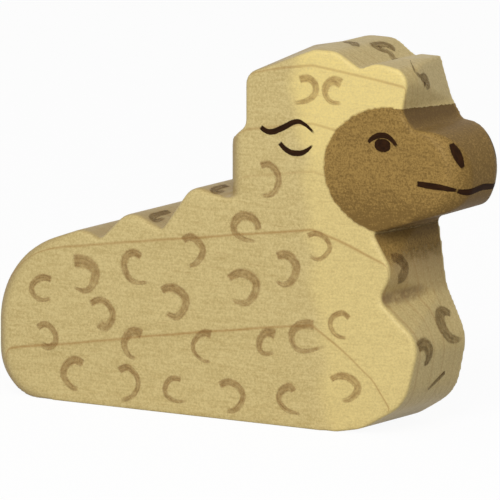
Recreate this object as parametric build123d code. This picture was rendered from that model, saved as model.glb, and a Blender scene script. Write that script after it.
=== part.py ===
"""A lying sheep sawn from a maple board, rounded over, sanded and painted by hand.

Millimetres. The nose points along +X, the board's thickness lies along Y, +Z is up.
The right flank faces -Y. The origin is the middle of the underside, at the centre
of the painted figure's bounding box.
"""
import os

from build123d import *

# Driving sizes of the wooden blank
body_length = 101.5
body_height = 71.0
board_thickness = 22.0

# How the blank is rounded over and sanded
edge_round = 0.9
rump_edge_round = 4.0
base_sanding = 0.5

# Seen from above a long facet on each side tapers from the neck to the nose, whose
# corners are rounded; the whole end is rounded over once more, close to a ball
taper_start_share = 0.70
nose_taper = 3.0
nose_corner_round = 4.5
nose_ball_radius = 12.0
nose_ball_reach = 0.7
nose_middle_share = 0.6940

# The forelock's front is sanded askew: its facet leans back and turns to the left
facet_turn = 13.0
facet_lean = 19.0
facet_top_share = (0.895, 0.965)

# The tops of the forelock and of the crown's rear are sanded askew too: the forelock
# falls to the left, and the crown's rear falls to the right and to the back
forelock_fall = 3.6
forelock_rear_share = 0.7941
forelock_ridge_share = 0.9830
crown_fall = 5.5
crown_rise = 21.0
crown_edge_share = 0.9180
crown_corner_round = 2.8

# Paint: one film over bare wood, and a second one over the stained face
paint_film = 0.15

# One overrun for every cutter and every region that passes clean through, and how near
# to a plane an edge lies that is picked by it
overrun = 5.0
pick_tolerance = 0.08

# Heights and lengths that several outlines share: the rump, the bulge behind the neck,
# the back of the head, the jaw's corner at the throat and the brow under the forelock
rump_share = 0.364
rump_foot_radius_share = 0.155
rump_top_radius_share = 0.282
neck_foot_share = 0.5873
neck_top_share = 0.7820
neck_back_share = 0.5064
head_back_share = 0.5532
jaw_corner_share = (0.8443, 0.5409)
nose_foot_share = 0.6140
brow_share = (0.8788, 0.8535)
brow_foot_share = (0.8995, 0.8080)
nose_front_share = 1.0600

# Corners of the sawn outline as shares of the length and of the height, with the
# corner's radius as a share of the height, or of this share of the length where that
# is less: foot, rump and back tufts, neck and crown, forelock and muzzle, throat, chest
radius_length_share = 0.71
outline_shares = (
    (0.0000, 0.0000, rump_foot_radius_share),
    (0.0000, rump_share, rump_top_radius_share),
    (0.1970, 0.4650, 0.056),
    (0.2345, 0.4423, 0.018),
    (0.2995, 0.5285, 0.063),
    (0.3704, 0.4845, 0.014),
    (0.4374, 0.6120, 0.056),
    (0.5054, neck_foot_share, 0.018),
    (neck_back_share, 0.7280, 0.063),
    (head_back_share, neck_top_share, 0.030),
    (head_back_share, 0.9540, 0.000),
    (0.6450, 0.9800, 0.070),
    (0.6900, 1.0000, 0.085),
    (0.7450, 1.0000, 0.070),
    (0.7941, 0.9570, 0.014),
    (0.8256, 0.9770, 0.070),
    (0.8960, 0.9600, 0.045),
    (*brow_share, 0.021),
    (*brow_foot_share, 0.028),
    (1.0000, 0.8020, 0.112),
    (1.0000, nose_foot_share, 0.092),
    (*jaw_corner_share, 0.014),
    (0.8650, 0.3662, 0.085),
    (0.9120, 0.2340, 0.085),
    (0.8860, 0.0850, 0.120),
    (0.8000, 0.0130, 0.150),
    (0.7250, 0.0000, 0.300),
)

# What was sanded off the throat, seen from the right: deep under the jaw and at the
# notch over the chest. The sanding turned to the front, so it runs out to the left: this
# is how much further to the front it lies at the left flank.
throat_fade = 5.3
throat_shares = (
    (0.8000, 0.5700, 0.000),
    (0.8567, 0.4268, 0.064),
    (0.8262, 0.3570, 0.030),
    (0.9400, 0.2085, 0.000),
    (0.9400, 0.5700, 0.000),
)

# The rump is rounded over more than the rest: its own outline follows the rear corners,
# leaves the back line at a steeper slope and passes under the foot
rump_outline_shares = (
    (0.0000, 0.0060, rump_foot_radius_share),
    (0.0000, rump_share, rump_top_radius_share),
    (0.4200, 0.6670, 0.000),
    (0.4600, 1.3000, 0.000),
    (1.2000, 1.3000, 0.000),
    (1.2000, -0.4200, 0.000),
)

# Outline of the stained face on the side: an arc from the brow round the cheek to the
# throat, closed in front of the nose
stain_brow_share = (0.868, 0.869)
stain_cheek_share = (0.725, 0.676)
stain_jaw_share = (0.807, 0.522)
stain_front_shares = ((nose_front_share, 0.560), (nose_front_share, brow_share[1]), (0.871, brow_share[1]))

# Strokes of the face on the side: a pupil, a lid, and the mouth line round the nose
pupil_share = (0.847, 0.764)
pupil_diameter = 2.6
lid_shares = ((0.821, 0.772), (0.845, 0.794), (0.878, 0.765))
lid_stroke = 0.75
mouth_shares = ((0.918, 0.677), (1.060, 0.666), (1.060, 0.650), (0.945, 0.660), (0.918, 0.670))

# The nostril, seen from the front: a slanted oval each side of the nose
nostril_out_share = 0.282
nostril_height_share = 0.752
nostril_length = 4.4
nostril_width = 1.1
nostril_lean = 14.0

# The ear: a wavy upper stroke and a bowed lower one, as points along each stroke
ear_upper_shares = ((0.591, 0.783), (0.610, 0.773), (0.640, 0.789), (0.672, 0.806), (0.706, 0.779))
ear_lower_shares = ((0.632, 0.746), (0.666, 0.724), (0.700, 0.749))
ear_stroke = 0.8

# A wool curl: a C drawn with a loaded brush, broad at its start and thin at its tail,
# in a few straight facets
curl_radius = 2.35
curl_stroke = 1.25
curl_tail = 0.35
curl_start_angle = 58.0
curl_end_angle = 302.0
curl_facets = 7

# Curls of a flank: share of the length, share of the height, size against curl_radius,
# and whether the curl opens to the front (1) or to the rear (-1)
flank_curl_shares = (
    (0.691, 0.895, 1.00, -1), (0.744, 0.896, 1.00, 1),
    (0.612, 0.649, 1.10, -1), (0.556, 0.521, 1.15, 1), (0.715, 0.483, 1.05, -1),
    (0.109, 0.293, 0.90, 1), (0.206, 0.340, 1.15, -1), (0.314, 0.381, 1.15, 1),
    (0.443, 0.435, 1.10, -1), (0.556, 0.355, 1.25, -1), (0.647, 0.414, 1.10, -1),
    (0.250, 0.245, 1.10, -1), (0.403, 0.300, 1.20, -1), (0.126, 0.170, 1.00, -1),
    (0.309, 0.176, 1.10, 1), (0.462, 0.186, 1.00, 1), (0.601, 0.221, 1.00, 1),
    (0.685, 0.240, 1.30, 1), (0.759, 0.283, 0.95, 1), (0.177, 0.078, 1.10, 1),
    (0.302, 0.073, 1.15, -1), (0.401, 0.070, 0.95, 1), (0.532, 0.072, 1.10, -1),
    (0.651, 0.078, 1.10, 1), (0.772, 0.122, 1.05, -1),
)

# Curls of the chest and forelock: share of the thickness from the middle plane, share
# of the height, size, and which way each opens, seen from the front
chest_curl_shares = (
    (-0.310, 0.438, 1.00, -1), (0.220, 0.268, 1.30, 1), (-0.265, 0.216, 1.00, -1),
)
forelock_curl_shares = (
    (-0.150, 0.935, 1.00, -1),
)

# Curls on the crown and on the tuft behind the rump: share of the length, share of the
# thickness from the middle plane, size, and which way each opens, seen from above
crown_curl_shares = (
    (0.722, -0.080, 1.15, 1), (0.772, 0.060, 1.10, -1), (0.342, 0.000, 1.15, -1),
)

# Where the front and top drawings start inside the block
chest_start_share = 0.500
face_start_share = 0.830
top_start_share = 0.300


def along(share):
    """X of a share of the length; the nose's two films are centred with the wood."""
    return share * body_length - body_length / 2 - paint_film


def above(share):
    """Z of a share of the height."""
    return share * body_height


def side_point(shares):
    """A point of the side view from its two shares."""
    return (along(shares[0]), above(shares[1]))


def outline_face(corner_shares):
    """A closed side outline with rounded corners, its foot line lowered for sanding."""
    radius_base = min(body_height, radius_length_share * body_length)
    points = []
    radii = []
    for x_share, z_share, radius_share in corner_shares:
        drop = base_sanding if z_share == 0 else 0
        points.append((along(x_share), above(z_share) - drop))
        radii.append(radius_share * radius_base)
    return make_face(FilletPolyline(*points, radius=radii, close=True))


def plan_face(front_round):
    """The block seen from above: parallel sides, then the long taper and a front."""
    half = board_thickness / 2
    right = ((along(0), -half), (along(taper_start_share), -half), (along(1), nose_taper - half))
    left = [(x, -y) for x, y in reversed(right)]
    radii = (0, 0, front_round, front_round, 0, 0)
    return make_face(FilletPolyline(*right, *left, radius=radii, close=True))


def plan_column(grow):
    """The chest's plan below the corner of the jaw and the muzzle's plan above it."""
    level = above(jaw_corner_share[1])
    chest = plan_face(0)
    muzzle = plan_face(nose_corner_round)
    if grow > 0:
        chest = offset(chest, amount=grow, kind=Kind.INTERSECTION)
        muzzle = offset(muzzle, amount=grow, kind=Kind.INTERSECTION)
    lower = Pos(0, 0, level) * extrude(chest, amount=-(body_height + overrun))
    upper = Pos(0, 0, level) * extrude(muzzle, amount=body_height + overrun)
    return lower + upper


def nose_cutter(grow):
    """What lies round the muzzle, before the brow and above the throat, outside the ball."""
    centre = along(1) + nose_ball_reach - nose_ball_radius
    ball = Pos(centre, 0, above(nose_middle_share)) * Sphere(nose_ball_radius + grow)
    foot = jaw_corner_share[1]
    muzzle = make_face(Polyline(
        side_point((brow_foot_share[0], foot)), side_point((brow_foot_share[0], brow_share[1])),
        side_point((nose_front_share, brow_share[1])), side_point((nose_front_share, foot)), close=True,
    ))
    return through_both_flanks(muzzle) - ball


def forelock_cutter(grow):
    """What the sanding took off the forelock's front, above the brow."""
    facet = Pos(along(facet_top_share[0]), -board_thickness / 2, above(facet_top_share[1]))
    facet = facet * Rot(0, 0, facet_turn) * Rot(0, -facet_lean, 0)
    waste = Box(body_length, 2 * body_length, body_height, align=(Align.MIN, Align.CENTER, Align.CENTER))
    above_brow = Pos(0, 0, above(brow_share[1]))
    keep = Box(2 * body_length, 2 * body_length, body_height, align=(Align.CENTER, Align.CENTER, Align.MIN))
    return (facet * Pos(grow, 0, 0) * waste) & (above_brow * keep)


def forelock_top_cutter(grow):
    """What the sanding took off the forelock's top, falling to the left."""
    facet = Pos(along(forelock_rear_share), -board_thickness / 2, above(forelock_ridge_share))
    waste = Box(body_length, 2 * body_length, body_height, align=(Align.MIN, Align.CENTER, Align.MIN))
    return facet * Rot(-forelock_fall, 0, 0) * Pos(0, 0, grow) * waste


def crown_cutter(grow):
    """What the sanding took off the crown's rear, falling to the right and to the back."""
    facet = Pos(along(head_back_share), -board_thickness / 2, above(crown_edge_share))
    waste = Box(body_length, 2 * body_length, body_height, align=(Align.CENTER, Align.CENTER, Align.MIN))
    return facet * Rot(0, -crown_rise, 0) * Rot(crown_fall, 0, 0) * Pos(0, 0, grow) * waste


def crown_corner_rounded(sawn, grow):
    """The sawn slab with the upper corner at the back of the head rounded."""
    back = along(head_back_share) - grow
    level = above(neck_top_share + crown_edge_share) / 2
    edges = sawn.edges().filter_by(lambda edge: abs(edge.center().X - back) < pick_tolerance)
    edges = edges.filter_by(lambda edge: edge.center().Z > level)
    corner = edges.filter_by(lambda edge: abs(edge.center().Y) < pick_tolerance)
    return fillet(corner, crown_corner_round + grow)


def jaw_level(share):
    """Height share of the jaw's underside, a straight line on from the corner of the jaw."""
    slope = (nose_foot_share - jaw_corner_share[1]) / (1 - jaw_corner_share[0])
    return jaw_corner_share[1] + (share - jaw_corner_share[0]) * slope


def throat_cutter(grow):
    """What the sanding took off the throat, under the jaw."""
    drawing = outline_face(throat_shares)
    behind = throat_shares[0][0]
    ahead = nose_front_share
    under_jaw = make_face(Polyline(
        side_point((behind, jaw_level(behind))), side_point((ahead, jaw_level(ahead))),
        side_point((ahead, 0)), side_point((behind, 0)), close=True,
    ))
    if grow > 0:
        drawing = offset(drawing, amount=-grow, kind=Kind.INTERSECTION)
        under_jaw = offset(under_jaw, amount=-grow, kind=Kind.INTERSECTION)
    stroke = Vector(throat_fade, board_thickness, 0)
    at_right_flank = Pos(0, -board_thickness / 2, 0) * (Plane.XZ * drawing)
    waste = extrude(Pos(-stroke) * at_right_flank, amount=3 * board_thickness, dir=stroke)
    return waste & through_both_flanks(under_jaw)


def board_slab(corner_shares, grow):
    """A slab of the board's thickness with a sawn outline, grown by a film."""
    profile = outline_face(corner_shares)
    if grow > 0:
        profile = offset(profile, amount=grow, kind=Kind.INTERSECTION)
    return extrude(Plane.XZ * profile, amount=board_thickness / 2 + grow, both=True)


def rounded_over(slab, rounding, grow):
    """A slab with the rims of both its flanks rounded over."""
    half = board_thickness / 2 + grow
    rims = slab.edges().filter_by(lambda edge: abs(abs(edge.center().Y) - half) < pick_tolerance)
    return fillet(rims, rounding + grow)


def neck_rounding_cutters(grow):
    """Quarter-round cutters for the two upright rims of the bulge behind the neck."""
    radius = along(head_back_share) - along(neck_back_share)
    centre = (along(head_back_share), board_thickness / 2 - radius)
    side = radius + edge_round + grow
    corner = Pos(*centre) * Rectangle(side, side, align=(Align.MAX, Align.MIN))
    corner = corner - Pos(*centre) * Circle(radius + grow)
    height = above(neck_top_share) - above(neck_foot_share)
    cutter = Pos(0, 0, above(neck_foot_share)) * extrude(corner, amount=height)
    return cutter + mirror(cutter, about=Plane.XZ)


def carved_block(grow):
    """The rounded and sanded block, grown evenly by the thickness of the paint."""
    sawn = board_slab(outline_shares, grow) - throat_cutter(grow)
    sawn = sawn - crown_cutter(grow) - forelock_top_cutter(grow)
    block = rounded_over(crown_corner_rounded(sawn, grow), edge_round, grow)
    block = block & rounded_over(board_slab(rump_outline_shares, grow), rump_edge_round, grow)
    block = (block & plan_column(grow)) - neck_rounding_cutters(grow)
    return block - forelock_cutter(grow) - nose_cutter(grow)


def brush_stroke(points, width):
    """A stroke through the given side points, full in the middle and pointed at its ends."""
    start, *middle, end = points
    upper = [(x, z + width / 2) for x, z in middle]
    lower = [(x, z - width / 2) for x, z in middle]
    return make_face(Spline(start, *upper, end) + Spline(end, *reversed(lower), start))


def curl_face(size, opens):
    """One curl, about its own centre: its outer rim, and an inner rim that draws near it."""
    outer_rim = []
    inner_rim = []
    for facet in range(curl_facets + 1):
        done = facet / curl_facets
        angle = curl_start_angle + done * (curl_end_angle - curl_start_angle)
        stroke = curl_stroke + done * (curl_tail - curl_stroke)
        outer_rim.append(Vector(size * curl_radius, 0).rotate(Axis.Z, angle))
        inner_rim.append(Vector(size * (curl_radius - stroke), 0).rotate(Axis.Z, angle))
    face = make_face(Polyline(*outer_rim, *reversed(inner_rim), close=True))
    if opens < 0:
        face = mirror(face, about=Plane.YZ)
    return face


def side_curls():
    """All wool curls of one flank, drawn in the side view."""
    curls = Sketch()
    for x_share, z_share, size, opens in flank_curl_shares:
        curls += Pos(along(x_share), above(z_share)) * curl_face(size, opens)
    return curls


def front_curls(curl_shares):
    """Wool curls seen from the front, drawn across the thickness."""
    curls = Sketch()
    for y_share, z_share, size, opens in curl_shares:
        place = Pos(y_share * board_thickness, above(z_share))
        curls += place * curl_face(size, opens)
    return curls


def top_curls(curl_shares):
    """Wool curls seen from above."""
    curls = Sketch()
    for x_share, y_share, size, opens in curl_shares:
        place = Pos(along(x_share), y_share * board_thickness)
        curls += place * curl_face(size, opens)
    return curls


def stain_face():
    """The side view of the stained face, closed in the air before the nose."""
    brow = side_point(stain_brow_share)
    cheek = side_point(stain_cheek_share)
    jaw = side_point(stain_jaw_share)
    front = [side_point(share) for share in stain_front_shares]
    return make_face([ThreePointArc(brow, cheek, jaw), Polyline(jaw, *front, brow)])


def to_flank(drawing):
    """A side drawing pushed out through the right flank."""
    return extrude(Plane.XZ * drawing, amount=board_thickness / 2 + overrun)


def through_both_flanks(drawing):
    """A side drawing pushed out through both flanks."""
    return extrude(Plane.XZ * drawing, amount=board_thickness / 2 + overrun, both=True)


def to_front(drawing, start_share):
    """A front drawing pushed forwards from inside the block."""
    start = Plane.YZ.offset(along(start_share))
    return extrude(start * drawing, amount=body_length + overrun)


def to_top(drawing):
    """A top drawing pushed upwards from inside the block."""
    start = Plane.XY.offset(above(top_start_share))
    return extrude(start * drawing, amount=body_height + overrun)


def film(region, inner, outer):
    """The paint between two growths of the block, inside one region."""
    return (region & outer) - inner


def export_pair(right_film, name):
    """A film of the right flank and its twin on the left."""
    export_step(right_film, f"parts/right_{name}.step")
    export_step(mirror(right_film, about=Plane.XZ), f"parts/left_{name}.step")


os.makedirs("parts", exist_ok=True)

bare_block = carved_block(0)
first_coat = carved_block(paint_film)
second_coat = carved_block(2 * paint_film)

foot_cut = Pos(0, 0, -body_height / 2) * Box(2 * body_length, 2 * board_thickness, body_height)
wood_body = bare_block - foot_cut
export_step(wood_body, "parts/wood_body.step")

face_stain = film(through_both_flanks(stain_face()), bare_block, first_coat)
export_step(face_stain, "parts/face_stain.step")

pupil = Pos(*side_point(pupil_share)) * Circle(pupil_diameter / 2)
lid = brush_stroke([side_point(share) for share in lid_shares], lid_stroke)
export_pair(film(to_flank(pupil + lid), first_coat, second_coat), "eye")

nostril = Rot(0, 0, nostril_lean) * Ellipse(nostril_width / 2, nostril_length / 2)
nostril = Pos(-nostril_out_share * board_thickness, above(nostril_height_share)) * nostril
export_pair(film(to_front(nostril, face_start_share), first_coat, second_coat), "nostril")

mouth = make_face(Polyline(*[side_point(share) for share in mouth_shares], close=True))
mouth_line = film(through_both_flanks(mouth), first_coat, second_coat)
export_step(mouth_line, "parts/mouth_line.step")

ear = brush_stroke([side_point(share) for share in ear_upper_shares], ear_stroke)
ear += brush_stroke([side_point(share) for share in ear_lower_shares], ear_stroke)
export_pair(film(to_flank(ear), bare_block, first_coat), "ear_lines")

export_pair(film(to_flank(side_curls()), bare_block, first_coat), "wool_curls")

chest_curls = film(to_front(front_curls(chest_curl_shares), chest_start_share), bare_block, first_coat)
forelock_curl = film(to_front(front_curls(forelock_curl_shares), face_start_share), bare_block, first_coat)
crown_curls = film(to_top(top_curls(crown_curl_shares)), bare_block, first_coat)
export_step(chest_curls, "parts/chest_wool_curls.step")
export_step(crown_curls + forelock_curl, "parts/top_wool_curls.step")
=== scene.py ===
# %% [markdown]
# # A lying sheep sawn from a maple board
# The real figure is one piece of pale maple: sawn out along its outline, rounded over,
# sanded by hand, and then painted with thin stains and a brush. This lesson dresses the
# measured model in the same order: the wooden block first, then the brown stain of the
# face, then the strokes of wool, ear, eye and mouth. Lengths are in metres, except where
# a name says millimetres or pixels (mm, px).

# %% Load the measured frame
from math import cos, pi, radians, sin

import bpy
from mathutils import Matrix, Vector


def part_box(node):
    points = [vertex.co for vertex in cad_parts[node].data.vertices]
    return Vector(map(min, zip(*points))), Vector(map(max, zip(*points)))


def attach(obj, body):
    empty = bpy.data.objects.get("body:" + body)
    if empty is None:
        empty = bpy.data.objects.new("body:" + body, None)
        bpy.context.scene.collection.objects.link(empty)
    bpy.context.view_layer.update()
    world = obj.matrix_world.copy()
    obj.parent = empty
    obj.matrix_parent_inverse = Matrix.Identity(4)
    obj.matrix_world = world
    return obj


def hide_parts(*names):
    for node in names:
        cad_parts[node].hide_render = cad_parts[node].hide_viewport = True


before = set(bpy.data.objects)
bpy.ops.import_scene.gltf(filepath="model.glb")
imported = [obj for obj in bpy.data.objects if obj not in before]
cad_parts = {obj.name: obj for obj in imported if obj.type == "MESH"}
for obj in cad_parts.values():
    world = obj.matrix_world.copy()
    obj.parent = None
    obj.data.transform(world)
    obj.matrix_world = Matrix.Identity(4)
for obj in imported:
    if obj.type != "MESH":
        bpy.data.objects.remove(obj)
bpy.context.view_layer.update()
MM = 0.001
print("nodes in the frame:", sorted(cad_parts))

# %% [markdown]
# Most places on the figure are easiest to give as shares of its length, height and half
# thickness, as on a drawing that is pinned on the board. One small helper turns such
# shares into a point, so the painting moves with the wood if the model changes.

# %% Measure the board and turn shares into points
board_low, board_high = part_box("wood_body")
board_length = board_high.x - board_low.x
board_height = board_high.z - board_low.z
half_board = (board_high.y - board_low.y) / 2


def board_point(along_share, above_share, beside_share=0.0):
    """A point from its shares of the length, of the height and of half the thickness."""
    return Vector((
        board_low.x + along_share * board_length,
        beside_share * half_board,
        board_low.z + above_share * board_height,
    ))


print("board", round(board_length / MM, 1), "x", round(board_height / MM, 1), "mm")

# %% [markdown]
# The photograph was taken from far away with a long lens, level with the figure and a
# little above it, turned towards its face. The pixel where the board's middle shows and
# the number of pixels in a millimetre fix the lens and the point that the camera aims at.
# Turning the view by eye would never match so well, and the strokes of paint further
# down are found through this same camera.

# %% Set up the camera
view_azimuth = radians(33.0)
view_elevation = radians(9.5)
camera_distance = 3.0
camera_reach = 20.0
sensor_width_mm = 36.0
picture_width_px = 500
pixels_per_mm = 5.39
pixel_size = MM / pixels_per_mm
middle_px = Vector((252.8, 224.8))
middle_point = Vector((0, 0, 35 * MM))


def direction(azimuth, elevation):
    """The direction from the figure to a camera or a lamp, from two angles."""
    return Vector((
        sin(azimuth) * cos(elevation), -cos(azimuth) * cos(elevation), sin(elevation),
    ))


def look_back_along(thing, way):
    """Turns a camera or a lamp to look against a direction."""
    thing.rotation_mode = "QUATERNION"
    thing.rotation_quaternion = way.to_track_quat("Z", "Y")


camera_way = direction(view_azimuth, view_elevation)
camera_right = Vector((cos(view_azimuth), sin(view_azimuth), 0))
camera_up = camera_way.cross(camera_right)
shift_px = middle_px - Vector((picture_width_px, picture_width_px)) / 2
aim_point = middle_point - (camera_right * shift_px.x - camera_up * shift_px.y) * pixel_size
camera_place = aim_point + camera_way * camera_distance

bpy.ops.object.camera_add(location=camera_place)
camera = bpy.context.active_object
camera.name = "photo_camera"
look_back_along(camera, camera_way)
camera.data.sensor_width = sensor_width_mm
camera.data.lens = sensor_width_mm * camera_distance / (picture_width_px * pixel_size)
camera.data.clip_end = camera_reach
bpy.context.scene.camera = camera
print("lens", round(camera.data.lens), "mm")

# %% [markdown]
# Blender's operators act on whatever is selected, so every step below starts by
# clearing the selection. These helpers do that, apply a modifier as soon as it is added,
# as one would by hand, and start a new piece from a copy of another one's mesh.

# %% Small helpers for working on one piece at a time


def work_on(piece):
    """Makes a piece the only selected and the active one."""
    bpy.ops.object.select_all(action="DESELECT")
    piece.select_set(True)
    bpy.context.view_layer.objects.active = piece


def finish_with(piece, kind, **settings):
    """Adds a modifier to a piece, sets it and applies it."""
    work_on(piece)
    bpy.ops.object.modifier_add(type=kind)
    modifier = piece.modifiers[-1]
    for name, value in settings.items():
        setattr(modifier, name, value)
    bpy.ops.object.modifier_apply(modifier=modifier.name)


def copy_of(model, name):
    """A new piece with its own copy of an object's mesh, bare and worked on."""
    piece = bpy.data.objects.new(name, model.data.copy())
    bpy.context.scene.collection.objects.link(piece)
    piece.data.materials.clear()
    work_on(piece)
    return piece


print("helpers ready")

# %% [markdown]
# The block starts as a copy of the measured board, whose loose triangles are merged
# first. A Bevel modifier could soften its edges, but bevels need tidy faces, and these
# are long thin triangles, only as finely divided as the outline needs. So a voxel remesh
# gives the block an even skin instead, and a little smoothing takes the machine-made
# sharpness off every edge alike, as sanding by hand does.

# %% Copy the board and give it an even skin
merge_distance = 0.001 * MM
skin_voxel = 0.45 * MM
sanding_strength = 0.5
sanding_passes = 2

maple_block = copy_of(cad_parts["wood_body"], "maple_block")
bpy.ops.object.mode_set(mode="EDIT")
bpy.ops.mesh.select_all(action="SELECT")
bpy.ops.mesh.remove_doubles(threshold=merge_distance)
bpy.ops.object.mode_set(mode="OBJECT")
finish_with(maple_block, "REMESH", mode="VOXEL", voxel_size=skin_voxel)
finish_with(maple_block, "SMOOTH", factor=sanding_strength, iterations=sanding_passes)
bpy.ops.object.shade_smooth()
print("block skin:", len(maple_block.data.polygons), "faces")

# %% [markdown]
# ## Finishes
# Shader masks are arithmetic, so they are easiest to read as arithmetic. `Value` wraps
# a socket and turns plus, minus, times and so on into Math nodes, and `Finish.add`
# makes every other node from its type, its settings and the values of its sockets.

# %% A small language for materials


class Value:
    """A socket that can be used in sums and products."""

    def __init__(self, finish, socket):
        self.finish = finish
        self.socket = socket

    def __add__(self, other):
        return self.finish.math("ADD", self, other)

    __radd__ = __add__

    def __sub__(self, other):
        return self.finish.math("SUBTRACT", self, other)

    def __rsub__(self, other):
        return self.finish.math("SUBTRACT", other, self)

    def __mul__(self, other):
        return self.finish.math("MULTIPLY", self, other)

    __rmul__ = __mul__

    def __truediv__(self, other):
        return self.finish.math("DIVIDE", self, other)

    def __pow__(self, other):
        return self.finish.math("POWER", self, other)

    def __abs__(self):
        return self.finish.math("ABSOLUTE", self)


class Finish:
    """The nodes of a material, or of the sky, under construction."""

    def __init__(self, owner):
        owner.use_nodes = True
        self.owner = owner
        self.tree = owner.node_tree
        self.tree.nodes.clear()

    def add(self, kind, values=None, settings=None, output=0):
        """Adds a node, with its settings first and then its sockets, and wraps one output."""
        node = self.tree.nodes.new(kind)
        for name, setting in (settings or {}).items():
            setattr(node, name, setting)
        for name, value in (values or {}).items():
            if isinstance(value, Value):
                self.tree.links.new(value.socket, node.inputs[name])
            else:
                node.inputs[name].default_value = value
        return Value(self, node.outputs[output])

    def math(self, operation, first, second=0.0):
        """A Math node on one or two values."""
        return self.add("ShaderNodeMath", {0: first, 1: second}, {"operation": operation})

    def larger(self, first, second):
        """The larger of two values."""
        return self.math("MAXIMUM", first, second)

    def smooth(self, value, start, end):
        """Eases from 0 where the value is start to 1 where it is end."""
        values = {"Value": value, "From Min": start, "From Max": end}
        return self.add("ShaderNodeMapRange", values, {"interpolation_type": "SMOOTHSTEP"})

    def blend(self, share, first, second):
        """A colour that goes from the first to the second as share goes from 0 to 1."""
        values = {0: share, 6: first, 7: second}
        return self.add("ShaderNodeMix", values, {"data_type": "RGBA"}, 2)

    def noise(self, vector, scale, detail=2.0, roughness=0.5):
        """Smooth noise about 0.5 over a vector."""
        values = {"Vector": vector, "Scale": scale, "Detail": detail, "Roughness": roughness}
        return self.add("ShaderNodeTexNoise", values)

    def stretched(self, vector, stretch):
        """The vector with each part multiplied."""
        return self.add("ShaderNodeVectorMath", {0: vector, 1: stretch}, {"operation": "MULTIPLY"})

    def parts(self, vector):
        """The three parts of a vector."""
        first = self.add("ShaderNodeSeparateXYZ", {0: vector})
        return [Value(self, socket) for socket in first.socket.node.outputs]

    def position(self):
        """The point's place on the figure, as a vector in millimetres."""
        place = self.add("ShaderNodeTexCoord", output="Object")
        return self.stretched(place, (1 / MM, 1 / MM, 1 / MM))

    def bump(self, height, distance, strength):
        """A bump normal from a height."""
        values = {"Height": height, "Distance": distance, "Strength": strength}
        return self.add("ShaderNodeBump", values)

    def seen_directly(self):
        """1 for rays from the camera and for those in glossy or clear surfaces, else 0."""
        seen = [self.add("ShaderNodeLightPath", output=f"Is {ray} Ray")
                for ray in ("Camera", "Glossy", "Transmission")]
        return self.math("MINIMUM", seen[0] + seen[1] + seen[2], 1.0)

    def close(self, values):
        """Ends a material in a Principled shader."""
        return self.end_in(self.add("ShaderNodeBsdfPrincipled", values), "ShaderNodeOutputMaterial")

    def end_in(self, shader, kind):
        """Links a shader to an output node and gives back what the nodes belong to."""
        node = self.tree.nodes.new(kind)
        self.tree.links.new(shader.socket, node.inputs["Surface"])
        return self.owner


def new_finish(name):
    """An empty material, ready for its nodes."""
    return Finish(bpy.data.materials.new(name))


def between(share, low, high):
    """A number that goes from low to high as a share goes from 0 to 1."""
    return share * (high - low) + low


print("finish language ready")

# %% [markdown]
# Some finishes depend on which face of the block a point lies on. Seen from above, the
# flanks run parallel as far as the neck and then taper to the nose. How deep a point
# lies behind that plan tells the flat of a flank, at zero depth, from the front, the
# back and the top, which lie deeper. The normal could tell them apart as well, but it
# turns slowly along the rounded rims, and there the place is the surer sign.

# %% Tell the flanks from the other faces
taper_start_mm = board_point(0.70, 0).x / MM
nose_taper_mm = 3.0
taper_slope = nose_taper_mm / (board_high.x / MM - taper_start_mm)
half_board_mm = half_board / MM


def depth_behind_flank(finish, x, y):
    """How far a point lies inside the nearer flank, in millimetres."""
    past_neck = finish.larger(x - taper_start_mm, 0.0)
    return half_board_mm - past_neck * taper_slope - abs(y)


print("each flank tapers by", nose_taper_mm, "mm")

# %% [markdown]
# Maple is nearly plain: a pale cream with fine dashes along the grain. What makes it
# read as wood here are a few thin brown lines where a year's growth ended. The lines
# are cylinders about the heart of the tree, which lay far off the right flank, so the
# flank cuts them at a glancing angle: they run almost level along it, dive where the
# taper cuts deeper, and stand nearly upright on the chest. The glancing cut also spreads
# a line out, so on the flanks the distance is stretched before the line is drawn. A
# Wave texture could draw such rings too, but evenly spaced and all alike. No two years
# are alike, so each line has a radius and a strength of its own.

# %% The growth lines of the tree
heart_y_mm = -231.0
heart_z_mm = -12.0
grain_climb = 0.15
climb_from_mm = 6.5
ring_sway_mm = 0.22
sway_scale = 0.16
least_rise_mm = 8.0
line_half_width_mm = 0.45
band_width_mm = 3.0
band_edge_mm = 0.4
growth_lines = (
    (221.95, 0.9), (225.05, 0.9), (227.6, 0.35), (230.0, 0.6), (233.4, 0.75),
    (235.6, 0.4), (237.4, 0.5), (239.3, 0.3), (241.6, 0.4),
)


def growth(finish, place, along_grain, on_flank):
    """Masks of the thin growth lines, and of the soft bands that lead up to them."""
    x, y, z = place
    sway = (finish.noise(along_grain, sway_scale, detail=1.0) - 0.5) * ring_sway_mm
    side = y - heart_y_mm
    rise = z - (x - climb_from_mm) * grain_climb - heart_z_mm
    radius = (side * side + rise * rise) ** 0.5 + sway
    spread = between(on_flank, 1.0, radius / finish.larger(rise, least_rise_mm))
    lines = 0.0
    bands = 0.0
    for line_radius, strength in growth_lines:
        gap = (radius - line_radius) * spread
        lines = lines + (1 - finish.smooth(abs(gap), 0.0, line_half_width_mm)) * strength
        past_line = finish.smooth(gap, 0.0, band_edge_mm)
        bands = bands + finish.smooth(gap, -band_width_mm, 0.0) * (1 - past_line) * strength
    return lines, bands


print("growth lines:", len(growth_lines))

# %% [markdown]
# The rest of the grain is noise: dashes, pores and broad soft clouds that are stretched
# along the grain, and specks that aren't. With the clouds the growth lines grow stronger
# and fainter. One helper gathers all these masks, because the stained face needs them
# too, and another adds some of them up, each times its own weight.

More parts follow.
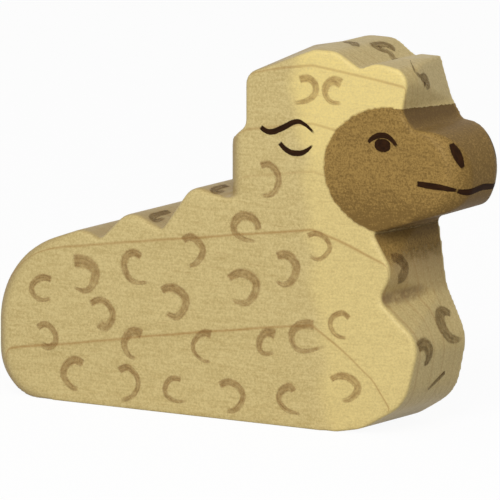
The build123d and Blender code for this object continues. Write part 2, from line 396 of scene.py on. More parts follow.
# %% The pattern of the wood
flank_edge_mm = (0.35, 1.0)
cloud_stretch = (0.25, 1.0, 1.0)
cloud_scale = 0.12
dash_stretch = (0.22, 2.6, 2.6)
dash_ease = (0.30, 0.70)
pore_stretch = (0.35, 4.5, 4.5)
pore_ease = (0.66, 0.74)
speck_scale = 2.6
line_strength_off_flank = 0.70
line_strength_in_clouds = (0.5, 1.5)


def maple_pattern(finish):
    """Places and masks of the wood, by name."""
    vector = finish.position()
    x, y, z = finish.parts(vector)
    depth = depth_behind_flank(finish, x, y)
    on_flank = 1 - finish.smooth(depth, *flank_edge_mm)
    along_grain = finish.stretched(vector, cloud_stretch)
    clouds = finish.noise(along_grain, cloud_scale)
    lines, bands = growth(finish, (x, y, z), along_grain, on_flank)
    lines = lines * between(on_flank, line_strength_off_flank, 1.0)
    dashes = finish.noise(finish.stretched(vector, dash_stretch), 1.0, detail=3.0, roughness=0.65)
    pores = finish.noise(finish.stretched(vector, pore_stretch), 1.0, detail=1.0)
    return {
        "x": x, "y": y, "z": z, "vector": vector, "depth": depth, "on_flank": on_flank,
        "lines": lines * between(clouds, *line_strength_in_clouds),
        "bands": bands,
        "dashes": dashes,
        "soft_dashes": finish.smooth(dashes, *dash_ease),
        "pores": finish.smooth(pores, *pore_ease),
        "specks": finish.noise(vector, speck_scale, roughness=0.7) - 0.5,
        "clouds": clouds,
    }


def weighed(wood, weights):
    """The sum of some masks of the wood, each times its weight."""
    total = 0.0
    for mask, weight in weights.items():
        total = total + wood[mask] * weight
    return total


print("a cloud is about", round(1 / cloud_scale), "mm high")

# %% [markdown]
# The sawn faces all round the outline show their grain end on and are darker than the
# flanks; painted shade darkens them further, most of all on the rounded back. The long
# facets towards the face were sanded last, through the darkened skin of the board, so
# they are paler, and a painted sheen brightens them further, most of all on the head.

# %% Painted shade on the sawn faces and painted sheen on the freshly sanded facets
facet_lean = 0.11
facet_edge_mm = taper_start_mm + 3.6
facet_ragged_mm = 8.0
facet_fade_mm = (-2.0, 2.4)
facet_sheen_strengths = (0.40, 0.85)
head_foot_mm = board_point(0, 0.64).z / MM
head_fade_mm = 12.0
sawn_shade_edge_mm = (0.02, 0.55)
sawn_shade_on_flank = 0.6
sawn_shade_strengths = (0.55, 0.20)
sawn_shade_change_mm = (taper_start_mm - 12.0, taper_start_mm - 2.0)


def fresh_facets_with_painted_sheen(finish, wood):
    """The paler wood of the long facets with a painted sheen, strongest on the head."""
    edge = facet_edge_mm - (wood["clouds"] - 0.5) * facet_ragged_mm
    past_edge = finish.smooth(wood["x"] + wood["z"] * facet_lean - edge, *facet_fade_mm)
    on_head = finish.smooth(wood["z"], head_foot_mm, head_foot_mm + head_fade_mm)
    return past_edge * wood["on_flank"] * between(on_head, *facet_sheen_strengths)


def sawn_rims_and_painted_shade(finish, wood):
    """The darker end grain of the sawn faces with painted shade, strongest at the back."""
    # This mask is the darker end grain of the sawn faces together with painted shade.
    sawn = finish.smooth(wood["depth"], *sawn_shade_edge_mm)
    sawn = sawn * between(wood["on_flank"], 1.0, sawn_shade_on_flank)
    return sawn * between(finish.smooth(wood["x"], *sawn_shade_change_mm), *sawn_shade_strengths)


print("the head starts at", round(head_foot_mm, 1), "mm")

# %% [markdown]
# The face's stain has run down the throat as a thin wash, which painted shade under the jaw
# makes stronger higher up. Painted shade also lies in the groove above the chest, in
# patches and mostly on the right.

# %% A stain wash on the throat, with painted shade under the jaw and in the groove
groove_z_mm = board_point(0, 0.356).z / MM
groove_tilt = 0.06
groove_level_at_y_mm = -9.0
groove_edge_mm = (0.3, 1.9)
groove_left_end_mm = (-2.0, 4.0)
groove_back_end_mm = (30.0, 32.0)
groove_shade_strengths = (0.35, 0.75)
patch_scale = 0.8
patch_ease = (0.30, 0.62)
throat_foot_mm = board_point(0, 0.430).z / MM
wash_back_mm = board_point(0.800, 0).x / MM
wash_fade_mm = 1.0
wash_top_mm = (head_foot_mm - 6.0, head_foot_mm - 4.0)
wash_strengths = (0.26, 0.52)
wash_in_clouds = (0.7, 1.3)


def throat_wash_and_shade(finish, wood):
    """The thin wash on the throat, made stronger higher up by painted shade under the jaw."""
    z = wood["z"]
    throat = finish.smooth(wood["x"], wash_back_mm, wash_back_mm + wash_fade_mm)
    throat = throat * finish.smooth(z, groove_z_mm - wash_fade_mm, groove_z_mm + wash_fade_mm)
    throat = throat * (1 - finish.smooth(z, *wash_top_mm)) * (1 - wood["on_flank"])
    higher = finish.smooth(z, groove_z_mm, throat_foot_mm + wash_fade_mm)
    return throat * between(higher, *wash_strengths) * between(wood["clouds"], *wash_in_clouds)


def painted_groove_shade(finish, wood):
    """Painted shade in the groove above the chest, in patches."""
    y = wood["y"]
    level = groove_z_mm + (y - groove_level_at_y_mm) * groove_tilt
    # This mask is painted shade in the groove.
    groove = 1 - finish.smooth(abs(wood["z"] - level), *groove_edge_mm)
    groove = groove * (1 - wood["on_flank"]) * (1 - finish.smooth(y, *groove_left_end_mm))
    groove = groove * finish.smooth(wood["x"], *groove_back_end_mm)
    patches = finish.smooth(finish.noise(wood["vector"], patch_scale), *patch_ease)
    return groove * between(patches, *groove_shade_strengths)


print("the groove lies at", round(groove_z_mm, 1), "mm")

# %% [markdown]
# The bare wood is sanded and lightly oiled: matt with a faint sheen. Its colour mixes a
# cream and a slightly darker straw. Then come the fresh facets with their painted sheen, the
# sawn faces with their painted shade, pores, growth lines, the stain on the throat with
# painted shade under the jaw, and painted shade in the groove, each laid over what is there.

# %% Bare maple
maple_cream = (0.640, 0.510, 0.228, 1)
maple_straw = (0.450, 0.335, 0.125, 1)
# The fresh colour is paler wood with a painted sheen, the sawn colour darker end grain with painted
# shade, the wash colour a stain wash with painted shade under the jaw, and the groove colour painted
# shade.
maple_fresh_and_sheen = (0.820, 0.645, 0.232, 1)
maple_sawn_and_shade = (0.270, 0.170, 0.056, 1)
maple_line = (0.350, 0.185, 0.050, 1)
maple_wash_and_shade = (0.240, 0.130, 0.030, 1)
maple_groove_shade = (0.150, 0.085, 0.030, 1)
maple_tone_weights = {"soft_dashes": 0.40, "clouds": 0.35, "bands": 0.16, "specks": 2.4}
maple_relief_weights = {"dashes": 0.6, "specks": 0.4, "lines": -0.3}
fresh_tone_share = 0.6
pore_strength = 0.20
line_strength = 0.60
maple_roughness = (0.44, 0.56)
maple_gloss = 0.3
relief_depth = 0.03 * MM
relief_strength = 0.5


def bare_maple():
    """The sanded, lightly oiled wood."""
    finish = new_finish("bare_maple")
    wood = maple_pattern(finish)
    tone = weighed(wood, maple_tone_weights)
    paler = finish.blend(tone * fresh_tone_share, maple_fresh_and_sheen, maple_cream)
    colour = finish.blend(tone, maple_cream, maple_straw)
    colour = finish.blend(fresh_facets_with_painted_sheen(finish, wood), colour, paler)
    colour = finish.blend(sawn_rims_and_painted_shade(finish, wood), colour, maple_sawn_and_shade)
    colour = finish.blend(wood["pores"] * pore_strength, colour, maple_line)
    colour = finish.blend(wood["lines"] * line_strength, colour, maple_line)
    colour = finish.blend(throat_wash_and_shade(finish, wood), colour, maple_wash_and_shade)
    colour = finish.blend(painted_groove_shade(finish, wood), colour, maple_groove_shade)
    relief = weighed(wood, maple_relief_weights)
    return finish.close({
        "Base Color": colour,
        "Roughness": between(wood["dashes"], *maple_roughness),
        "Specular IOR Level": maple_gloss,
        "Normal": finish.bump(relief, relief_depth, relief_strength),
    })


maple_block.data.materials.append(bare_maple())
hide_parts("wood_body")
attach(maple_block, "root")
print("maple block finished")

# %% [markdown]
# ## The stained face
# The face was brushed with a brown stain that soaks in, so the grain stays visible and
# there is no thickness. It is made as a copy of the block's own skin, lifted by a hair,
# whose edge fades out where the brush stopped. Being the same skin, it can't cut
# through the wood anywhere. On a flank its edge is an ellipse about the eye, in front it
# ends under the forelock, and below the jaw it runs out on the throat.

# %% Lift the stained skin off the block
stain_centre_mm = board_point(0.865, 0.697) / MM
stain_half_length_mm = 14.4
stain_half_height_mm = 12.0
stain_margin_mm = 1.2
stain_top_mm = board_point(0, 0.853).z / MM
jaw_foot_mm = board_point(0, 0.531).z / MM
throat_back_mm = board_point(0.815, 0).x / MM
stain_lift = 0.02 * MM


def inside_stain(point):
    """Whether a point of the skin may carry stain, with a margin for the fading edge."""
    place = point / MM
    ahead = (place.x - stain_centre_mm.x) / (stain_half_length_mm + stain_margin_mm)
    above = (place.z - stain_centre_mm.z) / (stain_half_height_mm + stain_margin_mm)
    in_height = throat_foot_mm < place.z < stain_top_mm + stain_margin_mm
    return ahead ** 2 + above ** 2 < 1 or (place.x > throat_back_mm and in_height)


stained_face = copy_of(maple_block, "stained_face")
bpy.ops.object.mode_set(mode="EDIT")
bpy.ops.mesh.select_all(action="DESELECT")
bpy.ops.object.mode_set(mode="OBJECT")
for face in stained_face.data.polygons:
    face.select = not inside_stain(face.center)
bpy.ops.object.mode_set(mode="EDIT")
bpy.ops.mesh.delete(type="FACE")
bpy.ops.mesh.select_all(action="SELECT")
bpy.ops.transform.shrink_fatten(value=stain_lift)
bpy.ops.object.mode_set(mode="OBJECT")
print("stained skin:", len(stained_face.data.polygons), "faces")

# %% [markdown]
# How far the stain reaches is one mask. On the face it is full inside the ellipse and
# below the brow, with a slightly wobbly edge, and on the throat it thins out downwards.
# It feeds the Alpha socket, so the bare wood shows wherever the mask is zero.

# %% Where the stain lies
wobble_scale = 0.9
round_edge_shares = (0.970, 1.020)
round_edge_wobble = 0.05
brow_edge_mm = (-0.12, 0.12)
brow_edge_wobble_mm = 0.7
brow_edge_fall = 0.07
front_start_shares = (-0.03, 0.03)
face_foot_mm = (jaw_foot_mm - 0.5, jaw_foot_mm + 0.2)
throat_end_mm = (throat_foot_mm, throat_foot_mm + 4.5)
throat_end_wobble_mm = 3.0
throat_cover = 0.85


def stain_cover(finish, wood):
    """Where the stain lies: 1 inside its edges and 0 outside."""
    x, y, z = wood["x"], wood["y"], wood["z"]
    wobble = finish.noise(wood["vector"], wobble_scale) - 0.5
    ahead = (x - stain_centre_mm.x) / stain_half_length_mm
    above = (z - stain_centre_mm.z) / stain_half_height_mm
    reach = (ahead * ahead + above * above) ** 0.5 + wobble * round_edge_wobble
    cheek = 1 - finish.smooth(reach, *round_edge_shares)
    level = z + y * brow_edge_fall + wobble * brow_edge_wobble_mm - stain_top_mm
    front = 1 - finish.smooth(level, *brow_edge_mm)
    face = between(finish.smooth(ahead, *front_start_shares), cheek, front)
    throat = finish.smooth(z + wobble * throat_end_wobble_mm, *throat_end_mm)
    throat = throat * (1 - wood["on_flank"]) * throat_cover
    return between(finish.smooth(z, *face_foot_mm), throat, face)


print("the stain ends", round(stain_top_mm, 1), "mm up, under the forelock")

# %% [markdown]
# The stain follows the same grain, so it reuses the maple masks: the soft wood between
# the growth lines drinks more stain and goes darker, in short streaks and specks. The end
# grain of the nose drinks most, and the faces off the flanks also get painted shade. Painted
# shade darkens the lower jaw, the hollow under the forelock, and the corner below the jaw.

# %% Brown stain over maple, with painted shade
stain_light = (0.330, 0.203, 0.054, 1)
stain_dark = (0.165, 0.095, 0.022, 1)
# This dark brown draws the growth lines, and also the painted shade under the forelock and below the
# jaw.
stain_line_and_shade = (0.110, 0.060, 0.014, 1)
stain_tone_weights = {"soft_dashes": 0.35, "clouds": 0.35, "specks": 3.2}
stain_relief_weights = {"dashes": 0.6, "specks": 0.4}
muzzle_foot_mm = (jaw_foot_mm - 0.5, jaw_foot_mm + 1.5)
# These set painted shade: on the lower jaw, on the faces off the flanks along with their darker end
# grain, in the hollow under the forelock, and in the corner below the jaw.
jaw_shade_top_mm = jaw_foot_mm + 10.0
jaw_shade_weight = 0.85
end_grain_and_shade_mm = (0.3, 4.0)
end_grain_and_shade_weight = 0.5
forelock_shade_height_mm = (stain_top_mm - 4.4, stain_top_mm - 1.2)
forelock_shade_depth_mm = (0.4, 1.2)
forelock_shade_strength = 0.90
forelock_shade_speck_strength = 0.7
jaw_shadow_height_mm = (jaw_foot_mm - 3.0, jaw_foot_mm - 0.6)
jaw_shadow_strengths = (0.3, 0.8)
stained_line_strength = 0.35
stain_roughness = (0.525, 0.675)
stain_gloss = 0.2


def stain_tone_and_painted_shade(finish, wood):
    """How dark the stain is, from 0 for its light to 1 for its dark colour, painted shade included."""
    jaw_shade = 1 - finish.smooth(wood["z"], jaw_foot_mm, jaw_shade_top_mm)
    end_grain_and_shade = finish.smooth(wood["depth"], *end_grain_and_shade_mm)
    drunk_and_shaded = jaw_shade * jaw_shade_weight + end_grain_and_shade * end_grain_and_shade_weight
    on_muzzle = finish.smooth(wood["z"], *muzzle_foot_mm)
    return weighed(wood, stain_tone_weights) + drunk_and_shaded * on_muzzle


def painted_shade_under_forelock(finish, wood):
    """Painted shade in the hollow under the forelock."""
    forelock_shade = finish.smooth(wood["z"], *forelock_shade_height_mm)
    forelock_shade = forelock_shade * finish.smooth(wood["depth"], *forelock_shade_depth_mm)
    return forelock_shade * (wood["specks"] * forelock_shade_speck_strength + forelock_shade_strength)


def painted_shadow_below_jaw(finish, wood):
    """Painted shadow in the corner between the jaw and the throat."""
    below_jaw = 1 - finish.smooth(wood["z"], *muzzle_foot_mm)
    jaw_shadow = finish.smooth(wood["z"], *jaw_shadow_height_mm) * below_jaw
    return jaw_shadow * between(wood["clouds"], *jaw_shadow_strengths)


def brown_stain():
    """Wood under a brown stain, fading out at the edge of the face."""
    finish = new_finish("brown_stain")
    wood = maple_pattern(finish)
    colour = finish.blend(stain_tone_and_painted_shade(finish, wood), stain_light, stain_dark)
    colour = finish.blend(painted_shade_under_forelock(finish, wood), colour, stain_line_and_shade)
    colour = finish.blend(painted_shadow_below_jaw(finish, wood), colour, stain_line_and_shade)
    colour = finish.blend(wood["lines"] * stained_line_strength, colour, stain_line_and_shade)
    relief = weighed(wood, stain_relief_weights)
    return finish.close({
        "Base Color": colour,
        "Roughness": between(wood["dashes"], *stain_roughness),
        "Specular IOR Level": stain_gloss,
        "Alpha": stain_cover(finish, wood),
        "Normal": finish.bump(relief, relief_depth, relief_strength),
    })


def paint_piece(piece, material, node):
    """Gives a coat its finish and puts it in its node's place. A film casts no shadow."""
    piece.data.materials.clear()
    piece.data.materials.append(material)
    piece.visible_shadow = False
    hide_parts(node)
    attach(piece, "root")


paint_piece(stained_face, brown_stain(), "face_stain")
print("stained face finished")

# %% [markdown]
# ## Brush strokes
# Every line on the figure is one stroke of a small brush. A bevelled curve would be
# round like a wire, and paint is flat, so a stroke is a narrow grid whose length follows
# a smooth line through a few points, and whose width swells and tapers with the
# pressure.

# %% Smooth lines and the pressure of the brush
line_roundness = 0.6


def slope_at(points, index):
    """The slope of a smooth line at one of its points; the ends bend like a parabola."""
    last = len(points) - 1
    if index == 0:
        return (points[1] - points[0]) * 1.5 - slope_at(points, 1) * 0.5
    if index == last:
        return (points[last] - points[last - 1]) * 1.5 - slope_at(points, last - 1) * 0.5
    return (points[index + 1] - points[index - 1]) * line_roundness


def along_line(points, share):
    """The point at a share of a smooth line through the given points."""
    spans = len(points) - 1
    span = min(int(share * spans), spans - 1)
    t = share * spans - span
    slope_in = slope_at(points, span)
    slope_out = slope_at(points, span + 1)
    return (
        points[span] * (2 * t ** 3 - 3 * t ** 2 + 1) + slope_in * (t ** 3 - 2 * t ** 2 + t)
        + points[span + 1] * (3 * t ** 2 - 2 * t ** 3) + slope_out * (t ** 3 - t ** 2)
    )


def through(points):
    """The smooth line through some points, as a function of the share along it."""
    return lambda share: along_line(points, share)


def swelling(width, start, end, peak=0.5):
    """A width that swells from a start share to the peak and thins to an end share."""
    def pressure(share):
        if share < peak:
            return width * between(sin(share / peak * pi / 2), start, 1)
        return width * between(cos((share - peak) / (1 - peak) * pi / 2), end, 1)
    return pressure


print("lines ready")

# %% [markdown]
# The grid keeps its own UV map, so the finish knows how far along and across the stroke
# each point lies. The seed moves the map on by whole strokes, so each stroke gets streaks
# of its own. Once shaped, the strokes are laid on the wood with Shrinkwrap: straight in
# on a flank, and to the nearest wood where the surface is round.

# %% Make a stroke and lay it on the wood
stroke_steps = 30
stroke_rows = 6
paint_lift = 0.05 * MM
flank_clearance = 2 * MM
both_sides = ((-1, "right"), (1, "left"))


def brush_stroke(name, line, width, outward, seed):
    """A grid bent along a line. Line and width are functions of the share along it."""
    bpy.ops.object.select_all(action="DESELECT")
    bpy.ops.mesh.primitive_grid_add(x_subdivisions=stroke_steps, y_subdivisions=stroke_rows, size=1)
    stroke = bpy.context.active_object
    stroke.name = name
    half_step = 0.5 / stroke_steps
    for vertex in stroke.data.vertices:
        share = min(max(vertex.co.x + 0.5, 0.0), 1.0)
        ahead = line(min(share + half_step, 1.0)) - line(max(share - half_step, 0.0))
        across = outward.cross(ahead).normalized()
        vertex.co = line(share) + across * (vertex.co.y * width(share))
    for corner in stroke.data.uv_layers[0].data:
        corner.uv.x += seed
    return stroke


def joined(strokes, name):
    """Joins strokes into one piece."""
    bpy.ops.object.select_all(action="DESELECT")
    for stroke in strokes:
        stroke.select_set(True)
    bpy.context.view_layer.objects.active = strokes[0]
    bpy.ops.object.join()
    strokes[0].name = name
    return strokes[0]


def off_flank(point, side):
    """The point moved sideways, clear of a flank; side is -1 for right and 1 for left."""
    return Vector((point.x, side * (half_board + flank_clearance), point.z))


def lay_on_wood(piece, side=None):
    """Lays a painted piece straight in on a flank, or on the nearest wood."""
    settings = {"target": maple_block, "offset": paint_lift, "wrap_mode": "ABOVE_SURFACE"}
    if side is None:
        settings["wrap_method"] = "NEAREST_SURFACEPOINT"
    else:
        settings["wrap_method"] = "PROJECT"
        settings["use_project_y"] = True
        settings["use_positive_direction"] = side < 0
        settings["use_negative_direction"] = side > 0
    finish_with(piece, "SHRINKWRAP", **settings)
    bpy.ops.object.shade_smooth()


print("a stroke has", stroke_steps * stroke_rows, "faces")

# %% [markdown]
# The wool is painted with a thin brown glaze that lets the wood show. It starts where
# the loaded brush lands, so the start is broad and a little darker, and it thins out
# towards the tail. The marks on chest and crown got a fuller brush, and the dark brown
# of eye, ear, nostrils and mouth is nearly opaque.

# %% Glazes for the wool and dark brown for the face
paint_roughness = 0.62
paint_gloss = 0.06
rag_scale = 2.2
blot_scale = 0.9
streaks_along = 4.0
streaks_across = 5.0
streak_ease = (0.3, 0.7)
rim_share = 0.95
rim_softness = 0.8
landing_rag = 0.08
landing_shares = (0.0, 0.04)
tail_rag = 0.1
tail_shares = (0.92, 1.0)


def brushed_paint(name, thin, full, covers, softness, streakiness):
    """Brushed paint whose cover goes from the first to the second along the stroke."""
    finish = new_finish(name)
    u, v, _ = finish.parts(finish.add("ShaderNodeTexCoord", output="UV"))
    vector = finish.position()
    share = finish.math("FRACT", u)
    ragged = (finish.noise(vector, rag_scale, detail=3.0, roughness=0.65) - 0.5) * softness
    across = abs(v - 0.5) * 2 + ragged
    body = 1 - finish.smooth(across, rim_share - softness * rim_softness, 1.0)
    landed = finish.smooth(share + ragged * landing_rag, *landing_shares)
    lifted = finish.smooth(share + ragged * tail_rag, *tail_shares)
    streak_place = finish.add("ShaderNodeCombineXYZ", {0: u * streaks_along, 1: v * streaks_across})
    streaks = finish.noise(streak_place, 1.0)
    blots = finish.noise(vector, blot_scale)
    uneven = (streaks + blots - 1.0) * streakiness
    return finish.close({
        "Base Color": finish.blend(finish.smooth(streaks, *streak_ease), thin, full),
        "Roughness": paint_roughness,
        "Specular IOR Level": paint_gloss,
        "Alpha": body * landed * (1 - lifted) * (between(share, *covers) + uneven),
    })


glaze_thin = (0.285, 0.155, 0.052, 1)
glaze_full = (0.225, 0.120, 0.040, 1)
umber_thin = (0.140, 0.075, 0.025, 1)
umber_full = (0.095, 0.050, 0.018, 1)
brown_thin = (0.030, 0.011, 0.003, 1)
brown_full = (0.016, 0.006, 0.002, 1)
wool_glaze = brushed_paint(
    "wool_glaze", glaze_thin, glaze_full, covers=(0.52, 0.38), softness=0.50, streakiness=0.6,
)
full_glaze = brushed_paint(
    "full_glaze", umber_thin, umber_full, covers=(0.56, 0.40), softness=0.38, streakiness=0.5,
)
dark_brown = brushed_paint(
    "dark_brown", brown_thin, brown_full, covers=(1.05, 1.0), softness=0.24, streakiness=0.1,
)
print("paints mixed")

# %% [markdown]
# ## Wool curls
# The curls are freehand, and no two are alike, so each is drawn through a few points
# that were read off the photograph, in its pixels. A ray from the camera through such a
# pixel finds the point of the wood that shows there. After the points come the brush's
# widths at the start, the middle and the end of the stroke, in pixels too; the grid is
# somewhat wider, because the paint fades out towards its rims.

# %% Find the wood under a pixel
rim_spread = 1.5


def wood_at(px_across, px_down):
    """The point of the wood that shows at a pixel of the photograph."""
    across = camera_right * (px_across - picture_width_px / 2)
    up = camera_up * (picture_width_px / 2 - px_down)
    ray = aim_point + (across + up) * pixel_size - camera_place
    _, place, _, _ = maple_block.ray_cast(camera_place, ray.normalized())
    return place


def brushed(row, seed, outward, side=None):
    """The stroke of one row of pixels and widths, held off a flank if a side is given."""
    pixels, widths = row
    points = [wood_at(*pixel) for pixel in pixels]
    if side is not None:
        points = [off_flank(point, side) for point in points]

    def width(share):
        return along_line(widths, share) * pixel_size * rim_spread

    return brush_stroke(f"wool_stroke_{seed}", through(points), width, outward, seed)


print("a ray meets the right flank at y", round(wood_at(200, 300).y / MM, 2), "mm")

# %% [markdown]
# The brush landed, which left a blunt start, went round and lifted off in a thin tail.
# Curls that open to the left and to the right take turns. The left flank, which the
# photograph doesn't show, gets the same curls as the right.

# %% Paint the curls of the flanks
flank_curl_pixels = (
    (((299, 80), (310, 79), (316, 89), (309, 99.5), (293, 103)), (6, 6, 3)),
    (((342, 84), (332, 81), (325, 90), (330, 101), (342, 103)), (9, 6, 3)),
    (((260, 166), (271, 165.5), (279, 179), (273, 193), (261, 195)), (5.5, 6.5, 3)),
    (((259, 231), (253.5, 218.5), (241, 216), (233.5, 226.5), (241, 237.5), (258.5, 241.5)), (6, 8, 2)),
    (((307, 236), (320, 234.5), (330, 247), (320, 259), (309, 254)), (4.5, 4.5, 3)),
    (((182.5, 241), (193, 237.5), (203, 250), (197, 262), (188, 266)), (6, 7, 3)),
    (((276, 256), (289, 256), (296.5, 269), (288, 284), (275, 280)), (7, 8, 3)),
    (((142, 257), (131, 253), (124, 264), (132, 280.5), (150, 281.5)), (6, 7, 2)),
    (((73, 261), (88, 263), (95.5, 274), (88, 290), (73, 286)), (11, 9, 2)),
    (((228, 279), (243, 273), (256.5, 284), (248, 302), (231, 299)), (6, 8.5, 3)),
    (((52, 280), (40, 278), (31.5, 288), (39, 299), (52, 298)), (5.5, 5.5, 2.5)),
    (((161, 291), (174, 288), (186, 300), (178, 316), (165.5, 312)), (6.5, 8, 4)),
    (((90, 304), (103, 300.5), (113, 314), (106, 327), (98, 321)), (6, 6.5, 9)),
    (((349.5, 319), (341, 313), (330.5, 321), (335, 334), (347.5, 338)), (4.5, 5, 2.5)),
    (((315, 325.5), (300, 325), (291.5, 336), (300, 350.5), (325.5, 346)), (8, 6.5, 2.5)),
    (((37.5, 328), (47, 324.5), (56, 336), (51, 346.5), (40, 343)), (5.5, 5.5, 6)),
    (((276, 335), (265, 333), (259, 345), (264, 353.5), (275, 351.5)), (9, 6, 3)),
    (((142.5, 335), (132, 331.5), (124.5, 342), (128, 353.5), (136.5, 359)), (8, 7, 2.5)),
    (((212, 335), (201, 334), (193, 346), (200, 358.5), (211.5, 361.5)), (7, 4.5, 2.5)),
    (((83.5, 364.5), (73, 360), (63.5, 371), (69, 384.5), (79, 388.5)), (7, 7, 4)),
    (((118.5, 371), (129, 368), (138, 381), (133, 395.5), (120, 400)), (6.5, 5, 4)),
    (((330, 380), (344, 376), (357.5, 386), (352, 397.5), (341, 400.5)), (4.5, 7, 3)),
    (((181.5, 379.5), (170, 379.5), (165, 391), (173, 400), (188, 401)), (4.5, 5, 2)),
    (((219, 385.5), (232, 382.5), (243, 395), (236, 409), (226, 410)), (6, 6, 4)),
    (((294, 392), (288, 387), (279, 395.5), (285, 408.5), (301.5, 414)), (6.5, 6.5, 2)),
)

for side, hand in both_sides:
    outward = Vector((0, side, 0))
    strokes = [brushed(row, seed, outward, side) for seed, row in enumerate(flank_curl_pixels)]
    curls = joined(strokes, f"{hand}_wool_curls_glaze")
    lay_on_wood(curls, side)
    paint_piece(curls, wool_glaze, f"{hand}_wool_curls")
print("curls on each flank:", len(flank_curl_pixels))

# %% [markdown]
# The camera sees the chest at a slant and the crown at a glancing angle, so the widths
# of these marks are larger than they look in the photograph. The two tufts behind the
# neck carry a curl each on top, which shows only as a sliver.

# %% Paint the marks of the chest, the forelock, the crown and the tufts
chest_mark_pixels = (
    (((391, 258), (399, 259), (405, 267), (402.5, 276), (397, 281)), (8, 10, 9)),
    (((451, 314), (442, 311.5), (440, 320), (444.5, 331), (452, 338.5), (462, 339)), (6, 13, 2.5)),
    (((417.5, 348), (424, 344), (429, 350.5), (427.5, 360), (423.5, 364)), (8, 12, 3)),
    (((445, 372), (436, 381), (427, 390)), (4, 4, 3)),
)
forelock_mark_pixels = (
    (((410, 60), (414, 70), (421, 77)), (2, 3, 4)),
    (((420, 77.5), (426, 81), (425.5, 89)), (4, 13, 3)),
)
crown_mark_pixels = (
    (((343, 42.5), (350, 42.5), (354, 44), (356, 47)), (8, 9, 6)),
    (
        ((391, 50.5), (390, 46.5), (383, 44.5), (375, 45.5), (381, 49.5), (391, 54.5), (402, 58.5)),
        (7, 10, 4),
    ),
    (((228, 185.5), (221, 187), (214, 190), (217, 193), (225, 190)), (5, 7, 3)),
    (((170, 211.5), (163, 213), (153, 216.5), (155, 221), (165, 217.5)), (5, 7, 3)),
)
forwards = Vector((1, 0, 0))
upwards = Vector((0, 0, 1))


def paint_marks(rows, outward, name):
    """Marks on wood that faces outward, laid on the nearest wood."""
    piece = joined([brushed(row, seed, outward) for seed, row in enumerate(rows)], name)
    lay_on_wood(piece)
    return piece


chest_marks = paint_marks(chest_mark_pixels, forwards, "chest_wool_curls_glaze")
crown_marks = paint_marks(crown_mark_pixels, upwards, "crown_glaze")
forelock_marks = paint_marks(forelock_mark_pixels, forwards, "forelock_glaze")
top_marks = joined([crown_marks, forelock_marks], "top_wool_curls_glaze")
paint_piece(chest_marks, full_glaze, "chest_wool_curls")
paint_piece(top_marks, full_glaze, "top_wool_curls")
print("marks on the chest:", len(chest_mark_pixels))
print("marks on top:", len(forelock_mark_pixels) + len(crown_mark_pixels))

# %% [markdown]
# ## The painted face
# The ear is two strokes, a wavy one over a bowed one. The eye is a round dab with a lid
# over it. They lie on the flanks, which a side view shows without slant, so they are
# given as shares of that view rather than by pixels, and painted on both flanks.

# %% Paint ears and eyes
ear_upper_shares = (
    (0.588, 0.785), (0.609, 0.773), (0.635, 0.786), (0.663, 0.806), (0.683, 0.803), (0.706, 0.779),
)
ear_lower_shares = ((0.629, 0.748), (0.648, 0.728), (0.667, 0.724), (0.685, 0.731), (0.702, 0.751))
ear_width = 1.25 * MM
pupil_share = (0.843, 0.764)
pupil_length = 3.4 * MM
pupil_height = 2.85 * MM
eye_lid_shares = ((0.814, 0.768), (0.824, 0.782), (0.840, 0.790), (0.857, 0.785), (0.873, 0.761))
lid_width = 1.25 * MM


def side_line(shares, side):
    """A smooth line through points of the side view, just off a flank."""
    return through([off_flank(board_point(*share), side) for share in shares])


def round_dab(height):
    """A width that makes a stroke oval."""
    return lambda share: height * max(0.0, 1 - (2 * share - 1) ** 2) ** 0.5


def paint_ear(side, hand):
    """The two strokes of an ear."""
    outward = Vector((0, side, 0))
    upper_width = swelling(ear_width, start=0.8, end=0.35, peak=0.35)
    upper = brush_stroke("ear_upper", side_line(ear_upper_shares, side), upper_width, outward, 0)
    lower_width = swelling(ear_width, start=0.8, end=0.25)
    lower = brush_stroke("ear_lower", side_line(ear_lower_shares, side), lower_width, outward, 1)
    ear = joined([upper, lower], f"{hand}_ear_paint")
    lay_on_wood(ear, side)
    paint_piece(ear, dark_brown, f"{hand}_ear_lines")


def paint_eye(side, hand):
    """The pupil and the lid over it."""
    outward = Vector((0, side, 0))
    along, above = pupil_share
    reach = pupil_length / 2 / board_length
    dab = side_line(((along - reach, above), (along, above), (along + reach, above)), side)
    pupil = brush_stroke("pupil", dab, round_dab(pupil_height), outward, 0)
    width = swelling(lid_width, start=0.5, end=0.5)
    lid = brush_stroke("lid", side_line(eye_lid_shares, side), width, outward, 1)
    eye = joined([pupil, lid], f"{hand}_eye_paint")
    lay_on_wood(eye, side)
    paint_piece(eye, dark_brown, f"{hand}_eye")


for side, hand in both_sides:
    paint_ear(side, hand)
    paint_eye(side, hand)
print("ears and eyes painted")

# %% [markdown]
# The nostrils sit on the rounded front of the muzzle. The mouth was painted in two
# goes: a thick line along the cheek from either side, and a full stroke round the nose.
# These lines go round in space, so each point has a third share, of half the thickness,
# and they are laid on the nearest wood.

# %% Paint nostrils and mouth
nostril_shares = ((0.969, 0.779, 0.5773), (0.991, 0.714, 0.5182))
nostril_width = 2.15 * MM
nostril_facing = (0.8, 0.6)
cheek_shares = (
    (0.912, 0.671, 0.8364), (0.938, 0.668, 0.8000), (0.966, 0.665, 0.7545), (0.986, 0.657, 0.6000),
)
cheek_width = 1.35 * MM
cheek_facing = (0.3, 0.95)
nose_shares = ((0.984, 0.657, 0.6091), (0.992, 0.651, 0.4455), (0.997, 0.652, 0.2364))
nose_front_share = (0.999, 0.655)
nose_width = 1.6 * MM


def on_side(shares, side):
    """The points of a list of shares, on the right for side -1 and on the left for 1."""
    return [board_point(along, above, side * beside) for along, above, beside in shares]


def facing(ways, side):
    """The way a cheek or nostril faces, from its parts forwards and to its side."""
    return Vector((ways[0], side * ways[1], 0))


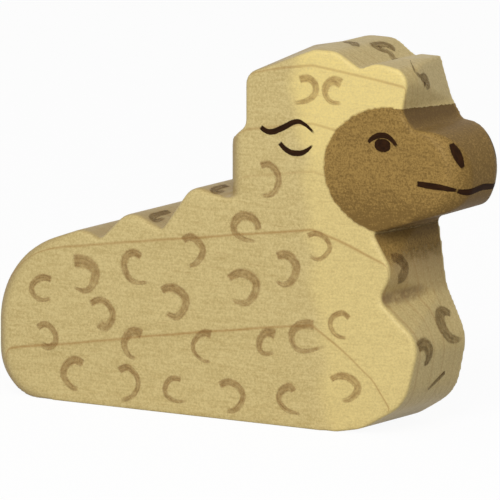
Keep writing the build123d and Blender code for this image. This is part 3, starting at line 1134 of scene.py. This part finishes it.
def paint_nostril(side, hand):
    """One slanted stroke on the front of the muzzle."""
    top, foot = on_side(nostril_shares, side)
    width = swelling(nostril_width, start=0.5, end=0.35, peak=0.45)
    outward = facing(nostril_facing, side)
    nostril = brush_stroke(
        f"{hand}_nostril_paint", lambda share: top.lerp(foot, share), width, outward, 0,
    )
    lay_on_wood(nostril)
    paint_piece(nostril, dark_brown, f"{hand}_nostril")


def cheek_stroke(side):
    """The mouth along a cheek."""
    width = swelling(cheek_width, start=0.8, end=0.45, peak=0.4)
    outward = facing(cheek_facing, side)
    return brush_stroke("cheek", through(on_side(cheek_shares, side)), width, outward, side + 1)


def nose_stroke():
    """The mouth round the nose, from the right to the left."""
    left = on_side(nose_shares, 1)
    points = [*on_side(nose_shares, -1), board_point(*nose_front_share), *reversed(left)]
    width = swelling(nose_width, start=0.55, end=0.55, peak=0.3)
    return brush_stroke("nose", through(points), width, forwards, 4)


for side, hand in both_sides:
    paint_nostril(side, hand)
mouth = joined([cheek_stroke(-1), cheek_stroke(1), nose_stroke()], "mouth_paint")
lay_on_wood(mouth)
paint_piece(mouth, dark_brown, "mouth_line")
print("face painted")

# %% [markdown]
# ## Studio
# The photograph is a product picture on white. The floor is paper that shows nearly
# white to the camera and in reflections, but keeps the figure's faint shadow, and
# lights it from below as plain grey paper would.

# %% Lay the floor
white = (1, 1, 1, 1)
floor_size = 6.0
floor_glow = 0.94
paper_grey = 0.6
paper_white = 0.97


def white_floor():
    """A pale floor that looks nearly white to the camera but keeps a faint shadow."""
    finish = new_finish("white_floor")
    seen = finish.seen_directly()
    paper = finish.add("ShaderNodeBsdfDiffuse", {"Color": between(seen, paper_grey, paper_white)})
    glow = finish.add("ShaderNodeEmission", {"Color": white, "Strength": 1.0})
    shader = finish.add("ShaderNodeMixShader", {0: seen * floor_glow, 1: paper, 2: glow})
    return finish.end_in(shader, "ShaderNodeOutputMaterial")


bpy.ops.object.select_all(action="DESELECT")
bpy.ops.mesh.primitive_plane_add(size=floor_size)
floor = bpy.context.active_object
floor.name = "floor"
floor.data.materials.append(white_floor())
print("floor laid")

# %% [markdown]
# The sky lights the figure softly from all round and shows as white itself. One large
# soft lamp stands before the right flank, somewhat towards the face: the flank is bright,
# the top and chest a little darker, and the rounded rump and the throat are in shade.

# %% Light the studio
key_azimuth = radians(25)
key_elevation = radians(32)
key_distance = 1.2
key_size = 0.8
key_power = 11.0
sky_strength = 0.41

key_way = direction(key_azimuth, key_elevation)
bpy.ops.object.light_add(type="AREA", location=middle_point + key_way * key_distance)
key = bpy.context.active_object
key.name = "key_light"
key.data.size = key_size
key.data.energy = key_power
look_back_along(key, key_way)

studio = bpy.data.worlds.new("studio")
bpy.context.scene.world = studio
sky = Finish(studio)
strength = between(sky.seen_directly(), sky_strength, 1)
sky_shader = sky.add("ShaderNodeBackground", {"Color": white, "Strength": strength})
sky.end_in(sky_shader, "ShaderNodeOutputWorld")
bpy.context.scene.view_settings.view_transform = "Standard"
print("studio lit")
